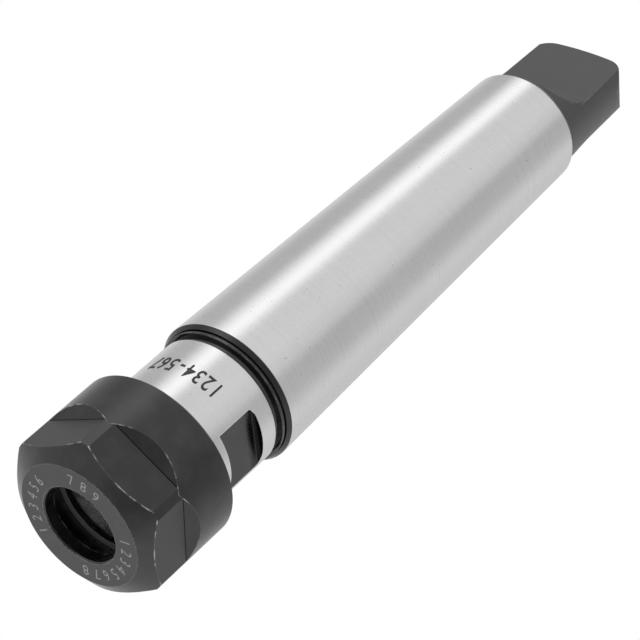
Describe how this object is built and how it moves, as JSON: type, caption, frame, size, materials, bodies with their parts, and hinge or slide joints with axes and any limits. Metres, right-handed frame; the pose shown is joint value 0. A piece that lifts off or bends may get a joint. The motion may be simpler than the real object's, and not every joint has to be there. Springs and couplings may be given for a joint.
{
  "type": "collet chuck holder",
  "caption": "Taper shank collet chuck holder with a drive tang, two spanner flats on its neck, and a hexagon clamping nut screwed on its threaded nose.",
  "frame": {"origin": "centre of the clamping nut's front face, on the axis", "axes": "+Z along the axis from the nut's face to the tang; the spanner flats face +X and -X, the tang's flats face +Y and -Y"},
  "size_m": [0.028, 0.028, 0.1325],
  "materials": {
    "ground_steel": "ground bright, black oxide on the collar, the neck flats and the tang",
    "black_oxide_steel": "satin black oxide, edges slightly worn"
  },
  "bodies": {
    "nut": {"clamping_nut": "black_oxide_steel"},
    "holder": {"chuck_body": "ground_steel"}
  },
  "joints": [
    {"name": "nut_unscrew", "type": "slide", "parent": "nut", "child": "holder", "axis": [0, 0, 1], "range_m": [0, 0.009]}
  ]
}
